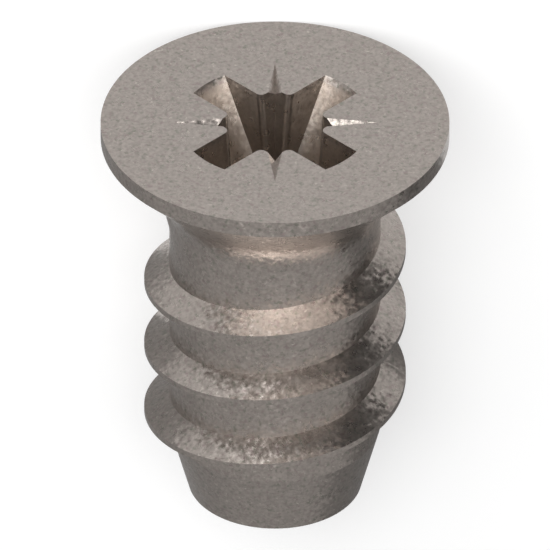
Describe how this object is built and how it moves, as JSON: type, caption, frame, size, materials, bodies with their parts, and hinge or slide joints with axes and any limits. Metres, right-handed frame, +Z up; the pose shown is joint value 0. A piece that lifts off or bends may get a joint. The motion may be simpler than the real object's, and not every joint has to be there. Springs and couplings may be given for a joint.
{
  "type": "euro screw",
  "caption": "Short countersunk euro screw with a coarse right-hand thread, blunt end and type Z cross recess, for fixing cabinet fittings in 5 mm system holes.",
  "frame": {"origin": "on the surface the screw lies on, under the middle of its box", "axes": "+Y along the screw as it lies, from head to tip; -Y faces the head and its recess; +X across it; +Z up. The axis leans 9 degrees, head end up, because the head is wider than the thread"},
  "size_m": [0.0084, 0.0114, 0.0084],
  "materials": {
    "zinc_plated_steel": "satin, finely mottled plating"
  },
  "bodies": {
    "root": {"euro_screw": "zinc_plated_steel"}
  },
  "joints": []
}
